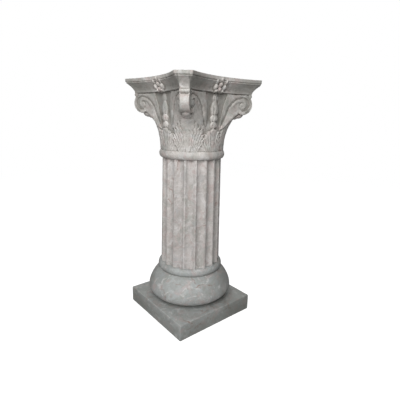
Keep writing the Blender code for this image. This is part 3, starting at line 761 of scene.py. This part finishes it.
def volute_field(u, v, z):
    """A corner's volute: stem plates that roll into a scroll with a hook and an eye inside.

    u runs out along the diagonal and v is the distance beside it. The groove and the panel
    inside it are sunk in the two flat sides, and the hook and the eye stand up from the panel.
    """
    groove_depth, groove_width = 0.0046, 0.0029
    panel_depth, panel_from, panel_to = 0.0024, 0.0005, -0.0030
    hook_rise, hook_width = 0.0027, 0.0031
    eye_rise, dimple_depth, dimple_width = 0.0034, 0.0018, 0.0028
    ring_gap, ring_depth, ring_width = 0.0030, 0.0016, 0.0020
    rim_width, rim_depth, rim_line = 0.0048, 0.0022, 0.0015
    gap_depth, gap_low, gap_high = 0.0055, ABACUS_FOOT - 0.0040, ABACUS_FOOT - 0.0022
    channel_depth, spine_rise, spine_width = 0.0022, 0.0007, 0.0022
    back = 0.085
    half = scroll_half(u, z)
    groove = [(0.101, 0.727), (0.108, 0.745), (0.1215, 0.775), (0.1325, 0.806), (0.1435, 0.822),
              (0.159, 0.835)]
    groove += scroll_points(0.0234, 0.0213, -12, 182)
    hook = [(0.148, 0.812), (0.156, 0.822), (0.165, 0.8275), (0.1746, 0.8295), (0.184, 0.8270),
            (0.1905, 0.8215), (0.1923, 0.8145), (0.1890, 0.8080)]
    plate = [(0.101, 0.727), (0.106, 0.770), (0.1148, 0.8135), (0.127, 0.850), (0.128, 0.8560),
             (0.1815, 0.8560)]
    plate += scroll_points(SCROLL_RADIUS, SCROLL_RADIUS, 0, 190)
    plate += [(0.168, 0.790), (0.140, 0.764), (0.118, 0.735)]
    face = polygon_field(u, z, plate)
    sunk = groove_depth * ridge(path_field(u, z, groove), groove_width)
    panel = polygon_field(u, z, groove[1:] + [(0.168, 0.786), (0.120, 0.740)])
    sunk = sunk + panel_depth * between(panel, panel_from, panel_to)
    sunk = sunk - hook_rise * ridge(path_field(u, z, hook), hook_width)
    to_eye = np.hypot(u - EYE_REACH, z - EYE_HEIGHT)
    dome = np.clip(1 - (to_eye / EYE_RADIUS) ** 4, 0, 1) * (to_eye < EYE_RADIUS)
    sunk = sunk - eye_rise * dome + dimple_depth * ridge(to_eye, dimple_width)
    sunk = sunk + ring_depth * ridge(to_eye - (EYE_RADIUS + ring_gap), ring_width)
    to_rim = SCROLL_RADIUS - rim_width - np.hypot(u - SCROLL_REACH, z - SCROLL_HEIGHT)
    sunk = sunk + rim_depth * ridge(to_rim, rim_line) * between(u, 0.186, 0.196)
    gap = between(z, gap_low, gap_high) * between(u, 0.136, 0.146)
    sunk = sunk + gap_depth * gap * (1 - between(u, 0.184, 0.194))
    aside = np.clip(np.abs(v) / SCROLL_HALF_FRONT, 0.0, 1.0)
    channel = channel_depth * (1 - aside ** 4) - spine_rise * ridge(v, spine_width)
    hollowed = face + np.maximum(channel, 0.0)
    sides = v - half + np.maximum(sunk, 0.0)
    return trimmed(trimmed(hollowed, sides, 0.003), back - u, 0.001)


def knob_field(u, v, z):
    """The rounded knob between the scroll and the horn that it carries."""
    reach, height, radius, half_width = 0.2060, 0.8462, 0.0070, 0.0172
    out = np.hypot(u - reach, z - height) - radius
    return trimmed(out, v - half_width, 0.003)


def web_field(u, v, z):
    """The sunk stone behind the volute, which ties the scroll, the knob and the leaf tip."""
    outline = [(0.085, 0.700), (0.085, 0.856), (0.206, 0.856), (0.206, 0.846), (0.190, 0.830),
               (0.184, 0.800), (0.176, 0.788), (0.166, 0.785), (0.130, 0.750)]
    face = polygon_field(u, z, outline)
    behind_sides = 0.0050
    return trimmed(face, v - scroll_half(u, z) + behind_sides, 0.003)


def leaf_tip_field(u, v, z):
    """The corner leaf's end, curled over forwards under the scroll, with a small roll below."""
    reach, height, half_width = 0.166, 0.7845, 0.0150
    half_length, half_thickness, mean_radius = 0.0180, 0.0140, 0.0145
    under_reach, under_height, under_half_width, under_radius = 0.154, 0.7765, 0.0170, 0.0095
    rib_height, rib_spacing, rib_limit = 0.0007, 0.0050, 4.7
    taper = np.clip(1 - (v / half_width) ** 2, 0.0, 1.0) ** 0.40
    ribs = rib_height * np.cos(np.clip(v / rib_spacing, -rib_limit, rib_limit) * 2)
    off_middle = np.hypot((u - reach) / half_length, (z - height) / half_thickness)
    roll = (off_middle - taper) * mean_radius - ribs
    under_taper = np.clip(1 - (v / under_half_width) ** 2, 0.0, 1.0) ** 0.5
    under = np.hypot(u - under_reach, (z - under_height) * 0.9) - under_radius * under_taper
    return joined(roll, under, 0.004)


def husk_string_field(p, q, z):
    """Husks threaded down the middle of a face, each an open bud with three rounded petals."""
    cord_radius, cord_middle, half_cord = 0.0045, 0.790, 0.062
    field = np.hypot(q, p - bell_radius(z)) - cord_radius
    field = trimmed(field, np.abs(z - cord_middle) - half_cord, 0.002)
    # Each husk's top and foot, half its width, and how far it stands out from the bell.
    husks = ((0.8510, 0.8220, 0.0125, 0.0075),
             (0.8260, 0.7790, 0.0165, 0.0115),
             (0.7830, 0.7560, 0.0160, 0.0095),
             (0.7590, 0.7340, 0.0145, 0.0080),
             (0.7370, 0.7120, 0.0115, 0.0060))
    for top, foot, width, proud in husks:
        share = np.clip((top - z) / (top - foot), 0.0, 1.0)
        flare = 0.35 + 0.65 * np.sin(math.pi * np.clip(0.08 + 0.72 * share, 0, 1)) ** 1.2
        side = np.clip(q / (width * flare), 0.0, 1.2)
        petals = 1 - 0.30 * ridge(side - 0.45, 0.12) * between(share, 0.15, 0.6)
        lift = proud * flare * petals * np.sqrt(np.clip(1 - side ** 2, 0.0, 1.0))
        tip = foot + 0.0040 * (1 - np.abs(np.cos(side * 3.3)))
        husk = trimmed(p - bell_radius(z) - lift, q - width * flare, 0.001)
        husk = trimmed(husk, np.maximum(z - top, tip - z), 0.002)
        field = joined(field, husk, 0.0015)
    return np.maximum(field, bell_radius(z) - 0.006 - p)


def abacus_front(z):
    """How far out the middle of an abacus side stands at each height."""
    share = np.clip((CAPITAL_TOP - z) / (CAPITAL_TOP - ABACUS_FOOT), 0.0, 1.0)
    half_horn = 0.5 * HORN_WIDTH
    middle = (HORN_REACH + half_horn) * math.sqrt(0.5) - ABACUS_HOLLOW
    return middle - ABACUS_INSET * (0.10 + 0.90 * share ** 0.9)


def flower_field(p, q, z):
    """The flower in the middle of an abacus side: rounded lobes in three upright rows."""
    front = abacus_front(z)
    field = np.full(p.shape, 1.0, np.float32)
    # Each lobe's distance from the middle and its height, half its height and half its width,
    # and its lean in radians. Those beside the middle stand on both sides of it.
    petals = ((0.0, 0.8905, 0.0080, 0.0085, 0.0),
              (0.0, 0.8750, 0.0090, 0.0085, 0.0),
              (0.0, 0.8600, 0.0075, 0.0075, 0.0),
              (0.0200, 0.8835, 0.0090, 0.0075, 0.5),
              (0.0185, 0.8675, 0.0100, 0.0072, 0.25),
              (0.0125, 0.8555, 0.0060, 0.0060, 0.1))
    proud = 0.0120
    for across, level, tall, wide, lean in petals:
        along = (z - level) * math.cos(lean) + (q - across) * math.sin(lean)
        aside = (q - across) * math.cos(lean) - (z - level) * math.sin(lean)
        round_off = np.sqrt((along / tall) ** 2 + (aside / wide) ** 2)
        lobe = p - front - proud * np.sqrt(np.clip(1 - round_off ** 2, 0.0, 1.0))
        field = joined(field, trimmed(lobe, (round_off - 1) * wide, 0.001), 0.0006)
    below_top, back = 0.002, 0.110
    field = trimmed(field, z - (CAPITAL_TOP - below_top), 0.001)
    return np.maximum(field, back - p)


def mark_shade_and_soiling(capital):
    """Stores where the stone is darkened: painted shade with some grime on the abacus sides and the
    tops of the horns, painted shade under the abacus and in the recesses beside the husks and the
    scroll, and an even tone on the flat top.
    """
    x, y, z = np.abs(read_points(capital.data).T)
    r, q = np.hypot(x, y), np.minimum(x, y)
    u, v = (x + y) * math.sqrt(0.5), np.abs(x - y) * math.sqrt(0.5)
    drop = np.clip((CAPITAL_TOP - z) / (CAPITAL_TOP - ABACUS_FOOT), 0.0, 1.0)
    slab = between(z, ABACUS_FOOT - 0.001, ABACUS_FOOT + 0.002)
    past_horn = v - 0.5 * HORN_WIDTH + 0.0151 * drop ** 0.8
    horn_front = between(u, 0.200, 0.208) * (1 - between(past_horn, -0.0012, 0.0010))
    # Painted shade, with some grime, on the abacus sides beside the horns, which face away from the
    # lamp.
    slab_side = slab * (1 - horn_front) * (0.02 + 0.50 * (1 - between(v, 0.036, 0.090)))
    # Grime and painted shade on the top of each horn's front.
    horn_top = 0.36 * horn_front * between(z, CAPITAL_TOP - 0.016, CAPITAL_TOP - 0.013)
    scroll_front = between(u, 0.188, 0.196) * (1 - between(v, 0.014, 0.017))
    # Painted shade on the upper bell under the abacus.
    upper_bell = 0.30 * between(z, 0.775, 0.800) * (1 - slab) * (1 - 0.50 * scroll_front)
    # Painted shade in the recesses beside the husk strings.
    beside_husks = between(q, 0.013, 0.019) * (1 - between(r, 0.126, 0.134))
    beside_husks = 0.50 * beside_husks * between(z, 0.735, 0.760) * (1 - slab)
    # Painted shadow in the gap beside the scroll.
    beside_scroll = between(v, 0.0150, 0.0165) * (1 - between(v, 0.0185, 0.0230))
    beside_scroll = 0.60 * beside_scroll * between(u, 0.182, 0.190) * between(z, 0.780, 0.790)
    shade_and_soiling = np.maximum.reduce((slab_side, horn_top, upper_bell, beside_husks, beside_scroll))
    flat_top = between(z, CAPITAL_TOP - 0.0020, CAPITAL_TOP - 0.0008)
    store(capital.data, "shade_and_soiling", shade_and_soiling + (0.26 - shade_and_soiling) * flat_top)


def make_capital():
    """Carves one quarter, from which the stone tree makes four.

    In it p is the distance out towards the nearer face and q the distance beside that face's
    middle; u is the distance out along the diagonal and v the distance beside it.
    """
    reach = 0.196
    corner = (-0.5 * CAPITAL_STEP, -0.5 * CAPITAL_STEP, CAPITAL_FOOT - GRID_DIP * CAPITAL_STEP)
    x, y, z = block(corner, (reach, reach, CAPITAL_TOP + 2 * CAPITAL_STEP), CAPITAL_STEP)
    x, y = np.abs(x), np.abs(y)
    r = np.hypot(x, y)
    u, v = (x + y) * math.sqrt(0.5), np.abs(x - y) * math.sqrt(0.5)
    p, q = np.maximum(x, y), np.minimum(x, y)
    off_corner = np.abs(np.arctan2(y, x) - 0.25 * math.pi) * r
    off_face = (0.25 * math.pi) * r - off_corner
    field = core_field(r, z)
    face_leaf = leaf_field(r, off_face, z, focus=0.600, height=0.076, lean=0.008,
                           edges=(0.0, 0.11, 0.21, 0.32, 0.44, 0.58, 5.0),
                           tops=(1.0, 0.92, 0.78, 0.62, 0.45, 0.28), thick=0.0050)
    corner_leaf = leaf_field(r, off_corner, z, focus=0.605, height=0.124, lean=0.038,
                             edges=(0.0, 0.17, 0.26, 0.35, 0.44, 0.54, 0.66, 5.0),
                             tops=(1.0, 0.90, 0.76, 0.62, 0.48, 0.35, 0.22), thick=0.0075)
    field = joined(field, face_leaf)
    field = joined(field, corner_leaf)
    field = joined(field, web_field(u, v, z), 0.002)
    field = joined(field, volute_field(u, v, z), 0.002)
    field = joined(field, knob_field(u, v, z), 0.0015)
    field = joined(field, leaf_tip_field(u, v, z), 0.002)
    field = joined(field, husk_string_field(p, q, z))
    field = joined(field, abacus_field(p, q, u, z), 0.001)
    field = joined(field, flower_field(p, q, z))
    field = np.maximum(field, np.maximum(CAPITAL_FOOT - z, z - CAPITAL_TOP))
    points, faces = skin(without_crumbs(field), corner, CAPITAL_STEP)
    # The crease colour given below is painted shade and grime in the creases.
    stone = marble("capital_marble", body=(0.70, 0.665, 0.635), shade=(0.58, 0.56, 0.53),
                   rust=0.0, crease_shade_and_soil=(0.16, 0.145, 0.125))
    capital = carve_finish(raw_piece("capital_raw", points, faces), "column_capital", copies=4,
                           rub_depth=0.0007, rub_size=0.012, stone=stone, most_triangles=190000,
                           low=CAPITAL_FOOT, high=CAPITAL_TOP)
    mark_creases(capital, CREASE_SCALES)
    # Painted shade under the abacus and in the recesses, with some grime.
    mark_shade_and_soiling(capital)
    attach(capital, "root")
    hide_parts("capital")


make_capital()


# The studio is a pale floor under a white sky, and both look white to the camera. One broad
# soft lamp by the camera lights the front of the column as in the photograph, and a weaker one
# keeps its back from going black.
PAPER_GREY = 0.42
PAPER_GLOW = 0.90
SKY_LIGHT = 0.20
AIM_HEIGHT = 0.5


def make_studio():
    mesh = bpy.data.meshes.new("studio_floor")
    mesh.from_pydata([(-4, -4, 0), (4, -4, 0), (4, 4, 0), (-4, 4, 0)], [], [(0, 1, 2, 3)])
    floor = bpy.data.objects.new("studio_floor", mesh)
    bpy.context.scene.collection.objects.link(floor)
    paper = bpy.data.materials.new("studio_paper")
    paper.use_nodes = True
    sheet = paper.node_tree.nodes["Principled BSDF"]
    sheet.inputs["Base Color"].default_value = (PAPER_GREY, PAPER_GREY, PAPER_GREY, 1.0)
    sheet.inputs["Roughness"].default_value = 0.9
    sheet.inputs["Emission Color"].default_value = (1.0, 1.0, 1.0, 1.0)
    seen = Wire(paper.node_tree).node("ShaderNodeLightPath", None, None, "Is Camera Ray")
    paper.node_tree.links.new((seen * PAPER_GLOW).socket, sheet.inputs["Emission Strength"])
    mesh.materials.append(paper)
    world = bpy.data.worlds.new("studio_sky")
    world.use_nodes = True
    sky = world.node_tree.nodes["Background"]
    sky.inputs["Color"].default_value = (1.0, 1.0, 1.0, 1.0)
    seen = Wire(world.node_tree).node("ShaderNodeLightPath", None, None, "Is Camera Ray")
    world.node_tree.links.new((SKY_LIGHT + seen * (1 - SKY_LIGHT)).socket, sky.inputs["Strength"])
    bpy.context.scene.world = world
    for name, size, energy, spot in (
            ("front_lamp", 1.2, 28.5, eye + above * 0.60 - forward * 0.5 - right * 0.25),
            ("back_lamp", 1.6, 10.0, -eye + Vector((0.0, 0.0, 2.4)))):
        lamp = bpy.data.lights.new(name, "AREA")
        lamp.size = size
        lamp.energy = energy
        holder = bpy.data.objects.new(name, lamp)
        bpy.context.scene.collection.objects.link(holder)
        holder.location = spot
        aim = Vector((0.0, 0.0, AIM_HEIGHT)) - holder.location
        holder.rotation_euler = aim.to_track_quat("-Z", "Y").to_euler()
    bpy.context.scene.view_settings.view_transform = "Standard"


make_studio()
